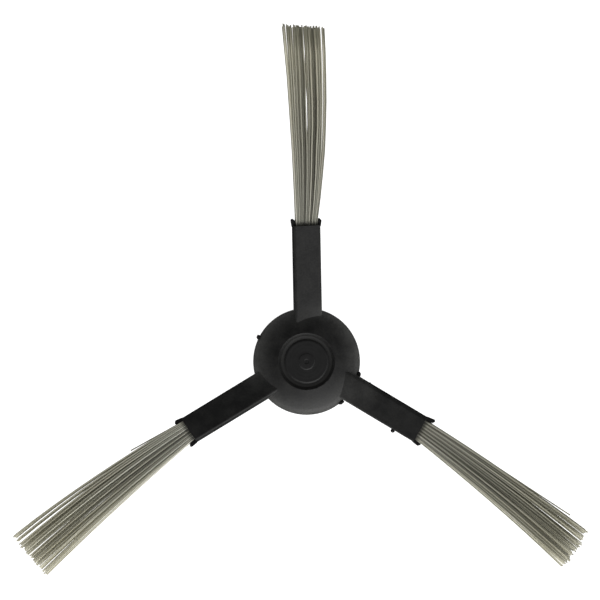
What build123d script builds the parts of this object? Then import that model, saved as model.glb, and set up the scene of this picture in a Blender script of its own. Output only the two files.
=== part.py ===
from build123d import *
import os
import random
from math import cos, hypot, pi, radians, sin, sqrt

# Side brush of a robot vacuum: a hard drive core locked inside a soft rubber hub, whose
# three twisted sleeve arms each hold a fan of nylon bristles.
# The origin is on the drive axis at the end of the boss. +Z points at the floor that the
# brush sweeps, and +Y is within about a degree of the first arm. Lengths are in millimetres.

# Rubber dome
hub_radius = 13.5
skirt_bottom = 3.4
skirt_wall = 1.8
recess_ceiling = 5.0
dome_base = 5.0
dome_rise = 5.0
shoulder_round = 2.6

# Round window in the dome, which leaves a groove round the button of the core
window_radius = 6.75
window_flare = 0.45

# Drive core, with a six-sided flange that the rubber can't turn on
boss_radius = 6.2
boss_chamfer = 0.4
flange_sides = 6
flange_bottom = 5.8
flange_thickness = 1.4
flange_radius = 9.5
shoulder_thickness = 1.5
shoulder_radius = 7.6
button_thickness = 0.6
button_radius = 5.5
button_chamfer = 0.3
pip_height = 0.25
pip_radius = 2.1
gate_depth = 0.2
gate_radius = 0.7
socket_width = 5.3
socket_corner = 0.6
socket_depth = 7.4
socket_lead_in = 0.4
bond_clearance = 0.05

# Sleeve arms, which climb outwards and have their counter-clockwise side raised. The soft arms
# have taken a slight set: (direction, offset of the middle line from the axis, reach).
arms = ((91.1, -0.53, 34.5), (211.3, -0.57, 34.5), (329.2, 0.0, 33.6))
arm_height = 4.15
arm_rise = 10.0
arm_twist = 11.0
arm_width = 6.9
arm_thickness = 3.4
arm_corner = 0.6
arm_root_cover = 0.3

# Moulding flash: two lips at each mouth, with (counter-clockwise, clockwise) lengths
lip_lengths = ((1.6, 1.4), (1.7, 1.8), (2.0, 1.6))
lip_width = 0.85
lip_chamfer = 0.28
lip_height = 1.6
lip_flare = 8.0
lip_root = 0.6
lip_clearance = 0.07

# Moulding flash: nubs on the rim of the hub, as (angle, radius, height), and nubs on the
# edges of the third arm, as (distance from the axis, side, radius, height)
rim_nubs = ((152.8, 0.7, 0.6), (345.5, 0.8, 0.6), (310.6, 0.8, 0.5))
rim_nub_level = 4.4
edge_nubs = ((27.5, -1, 0.5, 0.75), (16.7, 1, 0.4, 0.3))
nub_sides = 6
nub_taper = 12.0
nub_root = 0.4

# Bristles, with (mean length outside the sleeve, sideways lean, width at the tips) of each tuft
tufts = ((50.6, -0.5, 11.0), (50.8, 6.9, 13.2), (48.5, -6.9, 11.4))
filament_diameter = 0.35
filament_pitch = 0.395
filament_rows = 5
filament_columns = 14
pocket_clearance = 0.1
pocket_depth = 12.0
tuft_tip_thickness = 4.0
tip_jitter = 0.12
length_jitter = 0.9

# Sizes that follow from the values above. A bristle is drawn as a square rod with the
# section area of a round filament, and the crown of the dome is tangent to its shoulder.
filament_side = filament_diameter * sqrt(pi) / 2
row_pitch = filament_pitch * cos(radians(30))
bundle_width = (filament_columns - 1) * filament_pitch + filament_diameter
bundle_thickness = (filament_rows - 1) * row_pitch + filament_diameter
pocket_width = bundle_width + 2 * pocket_clearance
pocket_thickness = bundle_thickness + 2 * pocket_clearance
flange_top = flange_bottom + flange_thickness
groove_floor = flange_top + shoulder_thickness
button_top = groove_floor + button_thickness
pip_top = button_top + pip_height
lip_middle = (pocket_width + lip_width) / 2 + lip_clearance
window_top_radius = window_radius + window_flare
shoulder_centre = hub_radius - shoulder_round
crown_radius = (shoulder_centre**2 + dome_rise**2 - shoulder_round**2) / (2 * (dome_rise - shoulder_round))
crown_centre = dome_base + dome_rise - crown_radius
crown_edge_share = crown_radius / hypot(shoulder_centre, dome_base - crown_centre)
crown_edge = (
    shoulder_centre * crown_edge_share,
    crown_centre + (dome_base - crown_centre) * crown_edge_share,
)
window_edge = (window_top_radius, crown_centre + sqrt(crown_radius**2 - window_top_radius**2))
root_distance = (flange_radius + bond_clearance + arm_root_cover) / cos(radians(arm_rise))


def mouth_distance(arm):
    """Length of an arm's middle line from the axis to the mouth of its sleeve."""
    return arm[2] / cos(radians(arm_rise))


def arm_plane(arm, distance):
    """Cross-section of an arm: x across it, y up out of its face, z outwards along it."""
    direction, offset, _ = arm
    radial = Vector(1, 0, 0).rotate(Axis.Z, direction)
    lateral = Vector(0, 1, 0).rotate(Axis.Z, direction)
    outward = radial.rotate(Axis((0, 0, 0), lateral), -arm_rise)
    across = lateral.rotate(Axis((0, 0, 0), outward), arm_twist)
    origin = Vector(0, 0, arm_height) + lateral * offset + outward * distance
    return Plane(origin=origin, x_dir=across, z_dir=outward)


def arm_face_plane(arm):
    """Middle plane of an arm: x outwards along it, y across it, z up out of its face."""
    section = arm_plane(arm, 0)
    return Plane(origin=section.origin, x_dir=section.z_dir, z_dir=section.y_dir)


# Drive core: boss, locking flange, shoulder and button about one axis
with BuildPart() as drive_core:
    with BuildSketch(Plane.XZ):
        with BuildLine():
            Polyline(
                (0, 0),
                (boss_radius - boss_chamfer, 0),
                (boss_radius, boss_chamfer),
                (boss_radius, flange_top),
                (shoulder_radius, flange_top),
                (shoulder_radius, groove_floor),
                (button_radius, groove_floor),
                (button_radius, button_top - button_chamfer),
                (button_radius - button_chamfer, button_top),
                (pip_radius, button_top),
                (pip_radius - pip_height, pip_top),
                (gate_radius, pip_top),
                (gate_radius - gate_depth, pip_top - gate_depth),
                (0, pip_top - gate_depth),
                (0, 0),
            )
        make_face()
    revolve(axis=Axis.Z)
    with BuildSketch(Plane.XY.offset(flange_bottom)):
        RegularPolygon(flange_radius, flange_sides)
    extrude(amount=flange_thickness)
    with BuildSketch(Plane.XY):
        RectangleRounded(socket_width, socket_width, socket_corner)
    extrude(amount=socket_depth, mode=Mode.SUBTRACT)
    chamfer(drive_core.faces().sort_by(Axis.Z)[0].inner_wires()[0].edges(), socket_lead_in)

drive_core.part.label = "drive_core"

# Rubber body: the dome and its three sleeve arms, moulded in one piece round the core
with BuildPart() as rubber_body:
    with BuildSketch(Plane.XZ):
        with BuildLine():
            RadiusArc((hub_radius, dome_base), crown_edge, -shoulder_round)
            RadiusArc(crown_edge, window_edge, -crown_radius)
            Polyline(
                window_edge,
                (window_radius, groove_floor),
                (0, groove_floor),
                (0, skirt_bottom),
                (hub_radius, skirt_bottom),
                (hub_radius, dome_base),
            )
        make_face()
    revolve(axis=Axis.Z)

    for arm in arms:
        with BuildSketch(arm_plane(arm, root_distance)):
            RectangleRounded(arm_width, arm_thickness, arm_corner)
        extrude(amount=mouth_distance(arm) - root_distance)

    # Hollow under the dome, and the seat of the core
    with BuildSketch(Plane.XZ):
        with BuildLine():
            Polyline(
                (0, -skirt_bottom),
                (hub_radius, -skirt_bottom),
                (hub_radius, skirt_bottom),
                (hub_radius - skirt_wall, skirt_bottom),
                (hub_radius - skirt_wall, recess_ceiling),
                (boss_radius + bond_clearance, recess_ceiling),
                (boss_radius + bond_clearance, flange_top + bond_clearance),
                (shoulder_radius + bond_clearance, flange_top + bond_clearance),
                (shoulder_radius + bond_clearance, groove_floor + bond_clearance),
                (0, groove_floor + bond_clearance),
                (0, -skirt_bottom),
            )
        make_face()
    revolve(axis=Axis.Z, mode=Mode.SUBTRACT)
    with BuildSketch(Plane.XY.offset(flange_bottom - bond_clearance)):
        RegularPolygon(flange_radius + bond_clearance, flange_sides)
    extrude(amount=flange_thickness + 2 * bond_clearance, mode=Mode.SUBTRACT)

    # Flash lips beside the mouths, and the bristle pockets
    for arm, lengths in zip(arms, lip_lengths):
        for side, length in zip((1, -1), lengths):
            with BuildSketch(arm_face_plane(arm)) as lip:
                with Locations((mouth_distance(arm) + (length - lip_root) / 2, side * lip_middle)):
                    Rectangle(lip_root + length, lip_width, rotation=side * lip_flare)
                chamfer(lip.vertices(), lip_chamfer)
            extrude(amount=lip_height / 2, both=True)
        with BuildSketch(arm_plane(arm, mouth_distance(arm))):
            Rectangle(pocket_width, pocket_thickness)
        extrude(amount=-pocket_depth, mode=Mode.SUBTRACT)

    # Nubs of flash on the rim and on the third arm
    for angle, radius, height in rim_nubs:
        outward = Vector(1, 0, 0).rotate(Axis.Z, angle)
        root = outward * (hub_radius - nub_root) + Vector(0, 0, rim_nub_level)
        with BuildSketch(Plane(origin=root, x_dir=(0, 0, 1), z_dir=outward)):
            RegularPolygon(radius, nub_sides)
        extrude(amount=nub_root + height, taper=nub_taper)
    for reach, side, radius, height in edge_nubs:
        section = arm_plane(arms[2], reach / cos(radians(arm_rise)))
        root = section.origin + section.x_dir * side * (arm_width / 2 - nub_root)
        with BuildSketch(Plane(origin=root, x_dir=section.z_dir, z_dir=section.x_dir * side)):
            RegularPolygon(radius, nub_sides)
        extrude(amount=nub_root + height, taper=nub_taper)

rubber_body.part.label = "rubber_body"


def filament(mouth, across, up, lean):
    """One bristle: straight in the pocket, then along the lean vector from the mouth."""
    with BuildPart() as strand:
        with BuildSketch(mouth) as section:
            with Locations((across, up)):
                Rectangle(filament_side, filament_side)
        extrude(amount=-pocket_depth)
        extrude(section.sketch, amount=lean.length, dir=lean)
    return strand.part


def tuft_filaments(arm, tuft, seed):
    """The bristles of one arm, packed in its pocket and fanned out from its mouth."""
    mean_length, lean, tip_width = tuft
    chance = random.Random(seed)
    mouth = arm_plane(arm, mouth_distance(arm))
    strands = []
    for row in range(filament_rows):
        columns = filament_columns - row % 2
        for column in range(columns):
            across = (column - (columns - 1) / 2) * filament_pitch
            up = (row - (filament_rows - 1) / 2) * row_pitch
            length = mean_length + chance.uniform(-length_jitter, length_jitter)
            drift = across * (tip_width / bundle_width - 1) + length * sin(radians(lean))
            drift += chance.uniform(-tip_jitter, tip_jitter)
            lift = up * (tuft_tip_thickness / bundle_thickness - 1)
            lift += chance.uniform(-tip_jitter, tip_jitter)
            reach = sqrt(length**2 - drift**2 - lift**2)
            run = mouth.x_dir * drift + mouth.y_dir * lift + mouth.z_dir * reach
            strands.append(filament(mouth, across, up, run))
    return strands


os.makedirs("parts", exist_ok=True)
export_step(drive_core.part, "parts/drive_core.step")
export_step(rubber_body.part, "parts/rubber_body.step")

for number, (arm, tuft) in enumerate(zip(arms, tufts), start=1):
    with BuildPart() as bristle_tuft:
        add(tuft_filaments(arm, tuft, number))
    bristle_tuft.part.label = f"bristle_tuft_{number}"
    export_step(bristle_tuft.part, f"parts/bristle_tuft_{number}.step")
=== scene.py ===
import math
import random

import bmesh
import bpy
from mathutils import Matrix, Vector


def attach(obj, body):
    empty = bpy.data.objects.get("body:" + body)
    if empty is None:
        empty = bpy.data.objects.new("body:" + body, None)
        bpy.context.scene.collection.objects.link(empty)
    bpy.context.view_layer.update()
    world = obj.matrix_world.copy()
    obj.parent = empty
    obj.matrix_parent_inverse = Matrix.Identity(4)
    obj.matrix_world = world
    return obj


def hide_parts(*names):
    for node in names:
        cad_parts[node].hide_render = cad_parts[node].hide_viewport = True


# Side brush of a robot vacuum, seen from its domed face. One Blender unit is a metre.
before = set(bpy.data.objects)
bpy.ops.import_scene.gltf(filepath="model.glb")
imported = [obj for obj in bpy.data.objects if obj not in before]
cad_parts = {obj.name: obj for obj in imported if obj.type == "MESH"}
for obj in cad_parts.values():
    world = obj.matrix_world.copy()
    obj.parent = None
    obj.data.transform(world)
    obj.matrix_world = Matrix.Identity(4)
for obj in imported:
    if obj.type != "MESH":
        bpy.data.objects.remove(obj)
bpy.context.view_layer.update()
mm = 0.001
print("frame loaded:", sorted(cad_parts))


def hexToLinear(code):
    parts = [int(code[i:i + 2], 16) / 255 for i in (1, 3, 5)]
    return [c / 12.92 if c <= 0.04045 else ((c + 0.055) / 1.055) ** 2.4 for c in parts] + [1.0]


def addNode(tree, kind, settings=None, inputs=None, links=None):
    made = tree.nodes.new("ShaderNode" + kind)
    for name, value in (settings or {}).items():
        setattr(made, name, value)
    for name, value in (inputs or {}).items():
        made.inputs[name].default_value = value
    for name, source in (links or {}).items():
        tree.links.new(source, made.inputs[name])
    return made


def newMaterial(name):
    material = bpy.data.materials.new(name)
    material.use_nodes = True
    material.node_tree.nodes.clear()
    return material, material.node_tree


def setRamp(ramp, stops):
    elements = ramp.color_ramp.elements
    while len(elements) < len(stops):
        elements.new(0.5)
    for element, (place, code) in zip(elements, stops):
        element.position = place
        element.color = hexToLinear(code)


def makePiece(name, mesh, material):
    data = bpy.data.meshes.new(name)
    mesh.to_mesh(data)
    mesh.free()
    data.materials.append(material)
    piece = bpy.data.objects.new(name, data)
    bpy.context.scene.collection.objects.link(piece)
    print(name, len(data.polygons), "faces")
    return piece


# The sleeves of the solids, in mm and degrees, with each arm's direction, offset from the axis and reach
sleeve = {
    "height": 4.15,
    "rise": 10.0,
    "twist": 11.0,
    "pocket": 12.0,
    "arms": {"top": (91.1, -0.53, 34.5), "left": (211.3, -0.57, 34.5), "right": (329.2, 0.0, 33.6)},
}


# Distance of a point from the drive axis, in metres
def measureFromAxis(tree, point):
    axes = addNode(tree, "SeparateXYZ", links={"Vector": point})
    flat = addNode(tree, "CombineXYZ", links={"X": axes.outputs["X"], "Y": axes.outputs["Y"]})
    return addNode(
        tree, "VectorMath",
        settings={"operation": "LENGTH"},
        links={0: flat.outputs["Vector"]},
    )


# How far a point lies outside the mouth of its arm, in metres, and below 0 on the sleeve
def measurePastMouth(tree, point):
    pastMouth = None
    for direction, _, reach in sleeve["arms"].values():
        heading = math.radians(direction)
        along = addNode(
            tree, "VectorMath",
            settings={"operation": "DOT_PRODUCT"},
            inputs={1: (math.cos(heading), math.sin(heading), 0)},
            links={0: point},
        )
        past = addNode(
            tree, "Math",
            settings={"operation": "SUBTRACT"},
            inputs={1: reach * mm},
            links={0: along.outputs["Value"]},
        )
        if pastMouth:
            past = addNode(
                tree, "Math",
                settings={"operation": "MAXIMUM"},
                links={0: pastMouth.outputs["Value"], 1: past.outputs["Value"]},
            )
        pastMouth = past
    return pastMouth


# Moulded soft rubber: near black, a broad dull sheen, cloudy patches, a fine grain, a painted grey sheen
# on the low rim, a painted highlight at the root of the right arm, and duller raw edges at the mouths
# and nubs that carry painted shade to make them blacker
rubberLook = {
    "dark": "#0b0b0b",
    "light": "#1d1d1c",
    "darkBelow": 0.4,
    "lightAbove": 0.62,
    "patchMm": 3.0,
    "patchDetail": 4.0,
    "patchRoughness": 0.55,
    "grainMm": 0.45,
    "grainDetail": 2.0,
    "grainShare": 0.4,
    # The grey of the painted sheen on the low rim and of the painted highlight at the right arm's root
    "paintedSheen": "#545452",
    "sheenTopMm": 8.8,
    "sheenLowMm": 6.2,
    "sheenReachMm": (13.0, 19.0),
    "armHighlightAtMm": (12.4, -7.4, 8.0),
    "armHighlightMm": (2.0, 7.0),
    "armHighlight": 0.4,
    # Painted shade makes the raw edges blacker than the rubber
    "shadedRawEdge": "#050505",
    "rawEdgeMm": (-0.5, 0.1),
    "rawEdgeDullness": 0.35,
    "rimMm": 13.52,
    "rimFadeMm": 0.1,
    "nubTopMm": 5.3,
    "nubFadeMm": 0.2,
    "roughLow": 0.42,
    "roughHigh": 0.56,
    "roughPatches": (0.3, 0.7),
    "reliefMm": 0.04,
    "reliefStrength": 0.25,
    "specular": 0.32,
    "ior": 1.5,
}
rubber, tree = newMaterial("moulded_rubber")
place = addNode(tree, "TexCoord")
patches = addNode(
    tree, "TexNoise",
    inputs={
        "Scale": 1 / (rubberLook["patchMm"] * mm),
        "Detail": rubberLook["patchDetail"],
        "Roughness": rubberLook["patchRoughness"],
    },
    links={"Vector": place.outputs["Object"]},
)
grain = addNode(
    tree, "TexNoise",
    inputs={"Scale": 1 / (rubberLook["grainMm"] * mm), "Detail": rubberLook["grainDetail"]},
    links={"Vector": place.outputs["Object"]},
)
mottle = addNode(
    tree, "MixRGB",
    inputs={"Fac": rubberLook["grainShare"]},
    links={"Color1": patches.outputs["Fac"], "Color2": grain.outputs["Fac"]},
)
tone = addNode(tree, "ValToRGB", links={"Fac": mottle.outputs["Color"]})
setRamp(tone, [
    (rubberLook["darkBelow"], rubberLook["dark"]),
    (rubberLook["lightAbove"], rubberLook["light"]),
])

# The painted sheen is on the low part of the dome, fades out along the arms, and is as cloudy as the
# rubber.
# The painted highlight lies round the root of the right arm.
axes = addNode(tree, "SeparateXYZ", links={"Vector": place.outputs["Object"]})
radius = measureFromAxis(tree, place.outputs["Object"])
lowness = addNode(
    tree, "MapRange",
    settings={"interpolation_type": "SMOOTHSTEP"},
    inputs={"From Min": rubberLook["sheenTopMm"] * mm, "From Max": rubberLook["sheenLowMm"] * mm},
    links={"Value": axes.outputs["Z"]},
)
nearHub = addNode(
    tree, "MapRange",
    settings={"interpolation_type": "SMOOTHSTEP"},
    inputs={
        "From Min": rubberLook["sheenReachMm"][0] * mm,
        "From Max": rubberLook["sheenReachMm"][1] * mm,
        "To Min": 1.0,
        "To Max": 0.0,
    },
    links={"Value": radius.outputs["Value"]},
)
paintedSheen = addNode(
    tree, "Math",
    settings={"operation": "MULTIPLY"},
    links={0: lowness.outputs["Result"], 1: nearHub.outputs["Result"]},
)
fromRoot = addNode(
    tree, "VectorMath",
    settings={"operation": "DISTANCE"},
    inputs={1: Vector(rubberLook["armHighlightAtMm"]) * mm},
    links={0: place.outputs["Object"]},
)
armHighlight = addNode(
    tree, "MapRange",
    settings={"interpolation_type": "SMOOTHSTEP"},
    inputs={
        "From Min": rubberLook["armHighlightMm"][0] * mm,
        "From Max": rubberLook["armHighlightMm"][1] * mm,
        "To Min": rubberLook["armHighlight"],
        "To Max": 0.0,
    },
    links={"Value": fromRoot.outputs["Value"]},
)
sheenAndHighlight = addNode(
    tree, "Math",
    settings={"operation": "MAXIMUM"},
    links={0: paintedSheen.outputs["Value"], 1: armHighlight.outputs["Result"]},
)
cloudySheen = addNode(
    tree, "Math",
    settings={"operation": "MULTIPLY"},
    links={0: sheenAndHighlight.outputs["Value"], 1: mottle.outputs["Color"]},
)
dustAndPaintedSheen = addNode(
    tree, "MixRGB",
    inputs={"Color2": hexToLinear(rubberLook["paintedSheen"])},
    links={"Fac": cloudySheen.outputs["Value"], "Color1": tone.outputs["Color"]},
)

# Raw edges are duller and carry painted shade, which makes them blacker: the ends of the sleeves, and the
# nubs past the rim and below the arms
pastMouth = measurePastMouth(tree, place.outputs["Object"])
mouthEdge = addNode(
    tree, "MapRange",
    inputs={"From Min": rubberLook["rawEdgeMm"][0] * mm, "From Max": rubberLook["rawEdgeMm"][1] * mm},
    links={"Value": pastMouth.outputs["Value"]},
)
pastRim = addNode(
    tree, "MapRange",
    inputs={
        "From Min": rubberLook["rimMm"] * mm,
        "From Max": (rubberLook["rimMm"] + rubberLook["rimFadeMm"]) * mm,
    },
    links={"Value": radius.outputs["Value"]},
)
belowArms = addNode(
    tree, "MapRange",
    inputs={
        "From Min": rubberLook["nubTopMm"] * mm,
        "From Max": (rubberLook["nubTopMm"] - rubberLook["nubFadeMm"]) * mm,
    },
    links={"Value": axes.outputs["Z"]},
)
onNub = addNode(
    tree, "Math",
    settings={"operation": "MULTIPLY"},
    links={0: pastRim.outputs["Result"], 1: belowArms.outputs["Result"]},
)
shadedRawEdge = addNode(
    tree, "Math",
    settings={"operation": "MAXIMUM"},
    links={0: mouthEdge.outputs["Result"], 1: onNub.outputs["Value"]},
)
edgeShaded = addNode(
    tree, "MixRGB",
    inputs={"Color2": hexToLinear(rubberLook["shadedRawEdge"])},
    links={"Fac": shadedRawEdge.outputs["Value"], "Color1": dustAndPaintedSheen.outputs["Color"]},
)
dullness = addNode(
    tree, "MapRange",
    inputs={
        "From Min": rubberLook["roughPatches"][0],
        "From Max": rubberLook["roughPatches"][1],
        "To Min": rubberLook["roughLow"],
        "To Max": rubberLook["roughHigh"],
    },
    links={"Value": patches.outputs["Fac"]},
)
roughness = addNode(
    tree, "Math",
    settings={"operation": "MULTIPLY_ADD", "use_clamp": True},
    inputs={1: rubberLook["rawEdgeDullness"]},
    links={0: shadedRawEdge.outputs["Value"], 2: dullness.outputs["Result"]},
)
relief = addNode(
    tree, "Bump",
    inputs={"Strength": rubberLook["reliefStrength"], "Distance": rubberLook["reliefMm"] * mm},
    links={"Height": grain.outputs["Fac"]},
)
shader = addNode(
    tree, "BsdfPrincipled",
    inputs={"Specular IOR Level": rubberLook["specular"], "IOR": rubberLook["ior"]},
    links={
        "Base Color": edgeShaded.outputs["Color"],
        "Roughness": roughness.outputs["Value"],
        "Normal": relief.outputs["Normal"],
    },
)
addNode(tree, "OutputMaterial", links={"Surface": shader.outputs["BSDF"]})

# Moulded hard plastic: as black as the rubber, with the same dull sheen, faint turned rings from the tool
# and grey dust in the groove round the button
plasticLook = {
    "dark": "#111111",
    "light": "#181818",
    "darkBelow": 0.35,
    "lightAbove": 0.7,
    "patchMm": 2.0,
    "patchDetail": 4.0,
    "ringMm": 0.9,
    "ringWobble": 0.3,
    "ringDepthMm": 0.05,
    "ringStrength": 0.2,
    "dust": "#555552",
    "dustiness": 0.13,
    "grooveMm": (5.45, 5.65),
    "dishSlope": 0.3,
    "filletMm": 6.42,
    "filletSteepness": 2.6,
    "roughness": 0.5,
    "specular": 0.34,
    "ior": 1.5,
}
plastic, tree = newMaterial("moulded_abs")
place = addNode(tree, "TexCoord")
patches = addNode(
    tree, "TexNoise",
    inputs={"Scale": 1 / (plasticLook["patchMm"] * mm), "Detail": plasticLook["patchDetail"]},
    links={"Vector": place.outputs["Object"]},
)
tone = addNode(tree, "ValToRGB", links={"Fac": patches.outputs["Fac"]})
setRamp(tone, [
    (plasticLook["darkBelow"], plasticLook["dark"]),
    (plasticLook["lightAbove"], plasticLook["light"]),
])
ringScale = math.pi / (10 * plasticLook["ringMm"] * mm)  # at a scale of 1 the rings are pi / 10 apart
rings = addNode(
    tree, "TexWave",
    settings={"wave_type": "RINGS", "rings_direction": "Z"},
    inputs={"Scale": ringScale, "Distortion": plasticLook["ringWobble"]},
    links={"Vector": place.outputs["Object"]},
)
radius = measureFromAxis(tree, place.outputs["Object"])
inGroove = addNode(
    tree, "MapRange",
    inputs={
        "From Min": plasticLook["grooveMm"][0] * mm,
        "From Max": plasticLook["grooveMm"][1] * mm,
        "To Max": plasticLook["dustiness"],
    },
    links={"Value": radius.outputs["Value"]},
)
dustAndPaintedSheen = addNode(
    tree, "MixRGB",
    inputs={"Color2": hexToLinear(plasticLook["dust"])},
    links={"Fac": inGroove.outputs["Result"], "Color1": tone.outputs["Color"]},
)

# The floor of the groove is shaded as a dish that is steeper at its wall. The height is a radius in metres,
# so the bump's distance is the slope.
climb = addNode(
    tree, "Math",
    settings={"operation": "MAXIMUM"},
    inputs={1: plasticLook["grooveMm"][1] * mm},
    links={0: radius.outputs["Value"]},
)
atWall = addNode(
    tree, "Math",
    settings={"operation": "MAXIMUM"},
    inputs={1: plasticLook["filletMm"] * mm},
    links={0: radius.outputs["Value"]},
)
fillet = addNode(
    tree, "Math",
    settings={"operation": "MULTIPLY_ADD"},
    inputs={1: plasticLook["filletSteepness"]},
    links={0: atWall.outputs["Value"], 2: climb.outputs["Value"]},
)
dish = addNode(
    tree, "Bump",
    inputs={"Strength": 1.0, "Distance": plasticLook["dishSlope"]},
    links={"Height": fillet.outputs["Value"]},
)
relief = addNode(
    tree, "Bump",
    inputs={"Strength": plasticLook["ringStrength"], "Distance": plasticLook["ringDepthMm"] * mm},
    links={"Height": rings.outputs["Fac"], "Normal": dish.outputs["Normal"]},
)
shader = addNode(
    tree, "BsdfPrincipled",
    inputs={
        "Roughness": plasticLook["roughness"],
        "Specular IOR Level": plasticLook["specular"],
        "IOR": plasticLook["ior"],
    },
    links={"Base Color": dustAndPaintedSheen.outputs["Color"], "Normal": relief.outputs["Normal"]},
)
addNode(tree, "OutputMaterial", links={"Surface": shader.outputs["BSDF"]})

# Extruded nylon: grey-beige satin filaments, each of a slightly different tone, a little yellower
# towards the tips, with painted shadow of the sleeves at the mouths. The tones also carry painted light
# and shade, set per bristle in makeTuft.
nylonLook = {
    "stops": [
        (0.0, "#605f55"), (0.3, "#8e8d81"), (0.6, "#acab9d"), (0.85, "#bdbaab"), (1.0, "#dad9cc"),
    ],
    # Painted shadow of the sleeves on the bristles just outside the mouths
    "mouthShadow": "#2e2e2b",
    "mouthShadowMm": (0.0, 1.1),
    "mouthShadowStrength": 0.7,
    "warmth": "#fffdf4",
    "warmthMm": (5.0, 42.0),
    "roughness": 0.38,
    "specular": 0.45,
    "ior": 1.53,
}
nylon, tree = newMaterial("extruded_nylon")
shadeOf = addNode(tree, "Attribute", settings={"attribute_name": "shade"})
tone = addNode(tree, "ValToRGB", links={"Fac": shadeOf.outputs["Fac"]})
setRamp(tone, nylonLook["stops"])
place = addNode(tree, "TexCoord")
pastMouth = measurePastMouth(tree, place.outputs["Object"])
# Painted shadow just outside each mouth
atMouth = addNode(
    tree, "MapRange",
    settings={"interpolation_type": "SMOOTHSTEP"},
    inputs={
        "From Min": nylonLook["mouthShadowMm"][0] * mm,
        "From Max": nylonLook["mouthShadowMm"][1] * mm,
        "To Min": nylonLook["mouthShadowStrength"],
        "To Max": 0.0,
    },
    links={"Value": pastMouth.outputs["Value"]},
)
farOut = addNode(
    tree, "MapRange",
    inputs={"From Min": nylonLook["warmthMm"][0] * mm, "From Max": nylonLook["warmthMm"][1] * mm},
    links={"Value": pastMouth.outputs["Value"]},
)
warmed = addNode(
    tree, "MixRGB",
    settings={"blend_type": "MULTIPLY"},
    inputs={"Color2": hexToLinear(nylonLook["warmth"])},
    links={"Fac": farOut.outputs["Result"], "Color1": tone.outputs["Color"]},
)
shadowed = addNode(
    tree, "MixRGB",
    inputs={"Color2": hexToLinear(nylonLook["mouthShadow"])},
    links={"Fac": atMouth.outputs["Result"], "Color1": warmed.outputs["Color"]},
)
shader = addNode(
    tree, "BsdfPrincipled",
    inputs={
        "Roughness": nylonLook["roughness"],
        "Specular IOR Level": nylonLook["specular"],
        "IOR": nylonLook["ior"],
    },
    links={"Base Color": shadowed.outputs["Color"]},
)
addNode(tree, "OutputMaterial", links={"Surface": shader.outputs["BSDF"]})
print("rubber, plastic and nylon made")

for name, material in {"rubber_body": rubber, "drive_core": plastic}.items():
    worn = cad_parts[name].data.materials
    worn.clear()
    worn.append(material)
print("hub and core dressed")

# Bristle tufts, in mm. Across is counter-clockwise, a share is a place across the tuft from -1 to 1,
# and s runs along a bristle from 0 at the mouth to 1 at the tip.
bristle = {
    "diameter": 0.35,
    "sides": 6,
    "cuts": 9,
    "pitch": 0.395,
    "rows": 5,
    "columns": 14,
    "tipThickness": 3.6,
    "stagger": (0.0, 0.1, 0.2, -0.1, -0.2),
    "scatterAcross": 0.04,
    "scatterUp": 0.25,
    "waveAcross": 0.05,
    "waveUp": 0.15,
    "give": 0.45,
    # Alternate bristles are painted darker as shade between neighbours, and edge bristles on the lit side
    # are painted lighter
    "shadeStripe": 0.38,
    "spread": 0.42,
    "middle": 0.5,
    "litEdge": 0.3,
}
# A parting is its share, the s where it opens and closes, and its width. A stray is its share, its length
# and where its tip lies across. The lit side gets painted light on its edge bristles, and 0 means both
# edges.
tufts = {
    "bristles_top": {
        "standsFor": "bristle_tuft_1", "arm": "top", "seed": 4,
        "length": 50.4, "slope": 0.45, "ragged": 0.35, "tipWidth": 10.0,
        "lean": -0.25, "ease": 0.0, "bow": -0.75, "fan": 0.85,
        "tone": -0.11, "rootShadeContrast": 0.3, "paleTip": 0.2, "litSide": 0,
        "partings": [
            (0.0, 0.40, 0.74, 0.6), (0.02, 0.7, 1.1, 0.35), (-0.77, 0.29, 0.43, 0.35),
            (-0.88, 0.75, 1.4, 0.3), (0.9, 0.7, 1.4, 0.3), (0.58, 0.7, 1.3, 0.35),
        ],
        "strays": [],
    },
    "bristles_left": {
        "standsFor": "bristle_tuft_2", "arm": "left", "seed": 7,
        "length": 51.1, "slope": -0.8, "ragged": 0.4, "tipWidth": 11.9,
        "lean": 6.25, "ease": 0.4, "bow": -0.15, "fan": 0.45,
        "tone": 0.2, "rootShadeContrast": 0.9, "paleTip": 0.17, "litSide": 1,
        "partings": [
            (-0.74, 0.3, 1.7, 0.55), (-0.9, 0.45, 1.6, 0.35), (-0.04, 0.45, 1.6, 0.42),
            (0.55, 0.6, 1.5, 0.42), (0.76, 0.65, 1.5, 0.35),
        ],
        "strays": [(-1.0, 15.1, -3.35)],
    },
    "bristles_right": {
        "standsFor": "bristle_tuft_3", "arm": "right", "seed": 21,
        "length": 48.95, "slope": 0.2, "ragged": 0.8, "tipWidth": 10.4,
        "lean": -6.05, "ease": 0.38, "bow": 0.0, "fan": 0.05,
        "tone": 0.03, "rootShadeContrast": 1.0, "paleTip": 0.03, "litSide": -1,
        "partings": [
            (0.5, 0.55, 1.5, 0.45), (0.78, 0.55, 1.4, 0.35), (-0.93, 0.7, 1.5, 0.35),
        ],
        "strays": [(1.0, 43.8, 0.8)],
    },
}
upright = math.tan(math.radians(sleeve["twist"]))  # stands the stack of rows at the tips upright again
rowPitch = bristle["pitch"] * math.cos(math.radians(30))  # each row lies in the hollows of the next
halfWidth = (bristle["columns"] - 1) * bristle["pitch"] / 2
halfThickness = (bristle["rows"] - 1) * rowPitch / 2


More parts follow.
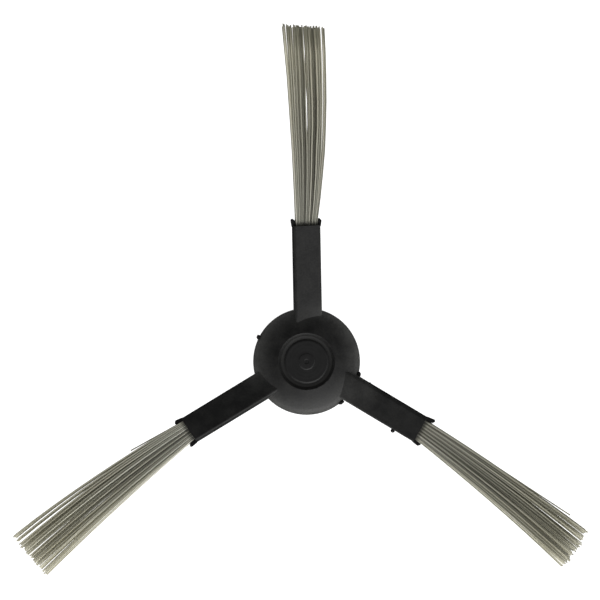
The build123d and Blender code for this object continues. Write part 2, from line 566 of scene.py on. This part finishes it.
# From a mouth's own axes, X out along the bristles, Y across and Z up, to those of the brush
def mouthMatrix(direction, offset, reach):
    rise = math.radians(sleeve["rise"])
    along = reach / math.cos(rise)
    turn = Matrix.Rotation(math.radians(direction), 4, "Z")
    start = Matrix.Translation((0, offset, sleeve["height"]))
    climb = Matrix.Rotation(-rise, 4, "Y")
    twist = Matrix.Rotation(math.radians(sleeve["twist"]), 4, "X")
    return turn @ start @ climb @ twist @ Matrix.Translation((along, 0, 0))


# A parting pushes its neighbours aside, and bristles further off give way less
def partingShift(tuft, share, s):
    shift = 0.0
    for middle, start, end, width in tuft["partings"]:
        if start < s < end:
            opening = width * math.sin(math.pi * (s - start) / (end - start)) ** 2
            aside = opening / 2 * math.exp(-abs(share - middle) / bristle["give"])
            shift += aside if share > middle else -aside
    return shift


# A tube 1 mm long is cut across, then drawn out along the bristle from the pocket's floor to the tip
def addBristle(mesh, shades, tuft, root, tip, wave, length, shade):
    first = len(mesh.verts)
    tube = bmesh.ops.create_cone(
        mesh, cap_ends=True, segments=bristle["sides"],
        radius1=bristle["diameter"] / 2, radius2=bristle["diameter"] / 2, depth=1,
    )["verts"]
    longEdges = [e for v in tube for e in v.link_edges if v.co.z < 0 < e.other_vert(v).co.z]
    bmesh.ops.subdivide_edges(mesh, edges=longEdges, cuts=bristle["cuts"])
    mesh.verts.ensure_lookup_table()
    share = root[0] / halfWidth
    for vert in mesh.verts[first:]:
        along = (vert.co.z + 0.5) * (length + sleeve["pocket"]) - sleeve["pocket"]
        s = max(0.0, along / length)
        fan = (1 + tuft["fan"]) * s - tuft["fan"] * s * s
        lean = tuft["lean"] * ((1 - tuft["ease"]) * s + tuft["ease"] * s * s)
        belly = 4 * s * (1 - s)
        across = root[0] + (tip[0] - root[0]) * fan + lean + (tuft["bow"] + wave[0]) * belly
        across += partingShift(tuft, share, s)
        up = root[1] + (tip[1] - root[1]) * s + wave[1] * belly
        vert.co = Vector((along, across + vert.co.x, up + vert.co.y))
        # Near the mouth the tones spread further apart: painted shade between the bristles there
        contrast = 1 + tuft["rootShadeContrast"] * max(0.0, 1 - s) ** 2
        vert[shades] = bristle["middle"] + (shade - bristle["middle"]) * contrast + tuft["paleTip"] * s * s


def makeTuft(name, tuft):
    chance = random.Random(tuft["seed"])
    mesh = bmesh.new()
    shades = mesh.verts.layers.float.new("shade")
    tipPitch = tuft["tipWidth"] / (bristle["columns"] - 1)
    for row in range(bristle["rows"]):
        columns = bristle["columns"] - row % 2
        level = 2 * row / (bristle["rows"] - 1) - 1
        for column in range(columns):
            share = (column - (columns - 1) / 2) * bristle["pitch"] / halfWidth
            root = (share * halfWidth, level * halfThickness)
            sideways = bristle["stagger"][row] * tipPitch + chance.gauss(0, bristle["scatterAcross"])
            up = level * bristle["tipThickness"] / 2 + chance.gauss(0, bristle["scatterUp"])
            tip = (share * tuft["tipWidth"] / 2 + sideways + up * upright, up)
            wave = (chance.gauss(0, bristle["waveAcross"]), chance.gauss(0, bristle["waveUp"]))
            length = tuft["length"] + tuft["slope"] * share + chance.uniform(-1, 1) * tuft["ragged"]
            # Edge bristles on the lit side get painted light
            litShare = max(0.0, share * tuft["litSide"]) if tuft["litSide"] else abs(share)
            shadeStripe = bristle["shadeStripe"] * ((column + row // 2) % 2)  # neighbours differ in tone, painted shade of the gaps between them
            # The tuft's tone is painted light and shade: it makes the whole tuft paler or darker for how
            # light falls on it
            shade = tuft["tone"] + shadeStripe + bristle["spread"] * chance.random()
            shade += bristle["litEdge"] * litShare ** 3
            addBristle(mesh, shades, tuft, root, tip, wave, length, shade)
    straight = dict(tuft, lean=0.0, bow=0.0, fan=0.0, partings=[])
    for share, length, tipAcross in tuft["strays"]:
        root = (share * (halfWidth + bristle["pitch"] / 2), 0.0)
        addBristle(mesh, shades, straight, root, (tipAcross, 0.0), (0, 0), length, bristle["middle"])
    for face in mesh.faces:
        face.smooth = len(face.verts) == 4
    toMouth = Matrix.Scale(mm, 4) @ mouthMatrix(*sleeve["arms"][tuft["arm"]])
    bmesh.ops.transform(mesh, matrix=toMouth, verts=mesh.verts)
    bmesh.ops.recalc_face_normals(mesh, faces=mesh.faces)
    piece = makePiece(name, mesh, nylon)
    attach(piece, "root")
    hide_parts(tuft["standsFor"])


for name, tuft in tufts.items():
    makeTuft(name, tuft)

# Lumps of torn flash over the nubs of the parting line. Each has its centre, its half sizes along, across
# and up in mm, and the direction of its length in degrees.
flash = {
    # Blacker than the moulded rubber: painted shade
    "black": "#060606",
    "roughness": 0.85,
    "around": 10,
    "upAndDown": 6,
    "lumps": [
        ((-12.05, 6.1, 6.0), (0.62, 0.5, 0.5), 60.0),
        ((13.15, -3.3, 6.1), (0.8, 0.5, 0.5), 80.0),
        ((8.75, -10.35, 6.0), (0.85, 0.45, 0.5), 25.0),
        ((21.72, -17.42, 9.2), (0.58, 0.55, 0.5), 0.0),
    ],
}
# Torn rubber: plain black, blacker than the moulded faces with painted shade, and duller than them
shadedTornRubber, tree = newMaterial("torn_rubber_shaded")
shader = addNode(
    tree, "BsdfPrincipled",
    inputs={"Base Color": hexToLinear(flash["black"]), "Roughness": flash["roughness"]},
)
addNode(tree, "OutputMaterial", links={"Surface": shader.outputs["BSDF"]})
mesh = bmesh.new()
for centre, halfSizes, direction in flash["lumps"]:
    turn = Matrix.Rotation(math.radians(direction), 4, "Z")
    stretch = Matrix.Diagonal((*halfSizes, 1))
    bmesh.ops.create_uvsphere(
        mesh, u_segments=flash["around"], v_segments=flash["upAndDown"], radius=1,
        matrix=Matrix.Scale(mm, 4) @ Matrix.Translation(centre) @ turn @ stretch,
    )
for face in mesh.faces:
    face.smooth = True
piece = makePiece("rubber_flash", mesh, shadedTornRubber)
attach(piece, "root")

# Pale floor just below the boss, one wide soft light from the lower side of the picture, and surroundings
# that are dark below, white at the horizon and grey overhead
studio = {
    "floorSize": 6.0,
    "floorDropMm": 0.1,
    "floor": "#bcbcbc",
    "floorRoughness": 0.9,
    "glow": "#ffffff",
    "glowStrength": 1.0,
    "surround": [
        (0.36, "#303030"), (0.5, "#ffffff"), (0.6, "#f4f4f4"), (0.75, "#d0d0d0"),
        (0.87, "#b4b4b4"), (0.94, "#929292"), (1.0, "#8a8a8a"),
    ],
    "surroundSpan": (-0.15, 1.85),
    "surroundLeast": 0.4,
    "keyStrength": 1.6,
    "keyAzimuth": 286.0,
    "keyElevation": 30.0,
    "keyAngle": 60.0,
}
paleBoard, tree = newMaterial("pale_board")
shader = addNode(
    tree, "BsdfPrincipled",
    inputs={
        "Base Color": hexToLinear(studio["floor"]),
        "Roughness": studio["floorRoughness"],
        "Specular IOR Level": 0.0,
        "Emission Color": hexToLinear(studio["glow"]),
        "Emission Strength": studio["glowStrength"],
    },
)
addNode(tree, "OutputMaterial", links={"Surface": shader.outputs["BSDF"]})
mesh = bmesh.new()
bmesh.ops.create_grid(
    mesh, x_segments=1, y_segments=1, size=studio["floorSize"] / 2,
    matrix=Matrix.Translation((0, 0, -studio["floorDropMm"] * mm)),
)
floor = makePiece("floor", mesh, paleBoard)
floor.visible_glossy = False  # the glow of the board isn't mirrored in the black rubber

# The surroundings run from straight down, 0, to straight up, 1, and are brighter on the side of the key
azimuth = math.radians(studio["keyAzimuth"])
elevation = math.radians(studio["keyElevation"])
keySide = Vector((math.cos(azimuth), math.sin(azimuth), 0))
world = bpy.data.worlds.new("studio")
world.use_nodes = True
tree = world.node_tree
tree.nodes.clear()
sky = addNode(tree, "TexCoord")
level = addNode(tree, "SeparateXYZ", links={"Vector": sky.outputs["Generated"]})
upDown = addNode(
    tree, "MapRange",
    inputs={"From Min": -1.0, "From Max": 1.0},
    links={"Value": level.outputs["Z"]},
)
band = addNode(tree, "ValToRGB", links={"Fac": upDown.outputs["Result"]})
setRamp(band, studio["surround"])
towards = addNode(
    tree, "VectorMath",
    settings={"operation": "DOT_PRODUCT"},
    inputs={1: keySide},
    links={0: sky.outputs["Generated"]},
)
brighter = addNode(
    tree, "MapRange",
    inputs={
        "From Min": -1.0,
        "From Max": 1.0,
        "To Min": studio["surroundSpan"][0],
        "To Max": studio["surroundSpan"][1],
    },
    links={"Value": towards.outputs["Value"]},
)
atLeast = addNode(
    tree, "Math",
    settings={"operation": "MAXIMUM"},
    inputs={1: studio["surroundLeast"]},
    links={0: brighter.outputs["Result"]},
)
background = addNode(
    tree, "Background",
    links={"Color": band.outputs["Color"], "Strength": atLeast.outputs["Value"]},
)
addNode(tree, "OutputWorld", links={"Surface": background.outputs["Background"]})
bpy.context.scene.world = world

keyLamp = bpy.data.lights.new("key", "SUN")
keyLamp.energy = studio["keyStrength"]
keyLamp.angle = math.radians(studio["keyAngle"])
key = bpy.data.objects.new("key", keyLamp)
toKey = keySide + Vector((0, 0, math.tan(elevation)))
key.rotation_euler = toKey.to_track_quat("Z", "Y").to_euler()
bpy.context.scene.collection.objects.link(key)

# Camera straight above, as in the photo, with +Y up the picture. Lengths are in mm, the clip in metres.
shot = {
    "height": 3000.0,
    "centre": (-1.66, 15.52),
    "spanAtRim": 151.5,
    "rim": 5.0,
    "sensor": 36.0,
    "clipEnd": 20.0,
}
cameraData = bpy.data.cameras.new("camera")
cameraData.sensor_width = shot["sensor"]
cameraData.lens = shot["sensor"] * (shot["height"] - shot["rim"]) / shot["spanAtRim"]
cameraData.clip_end = shot["clipEnd"]
camera = bpy.data.objects.new("camera", cameraData)
camera.location = Vector((*shot["centre"], shot["height"])) * mm
bpy.context.scene.collection.objects.link(camera)
bpy.context.scene.camera = camera
bpy.context.scene.view_settings.view_transform = "Standard"
print("stage, light and camera placed")
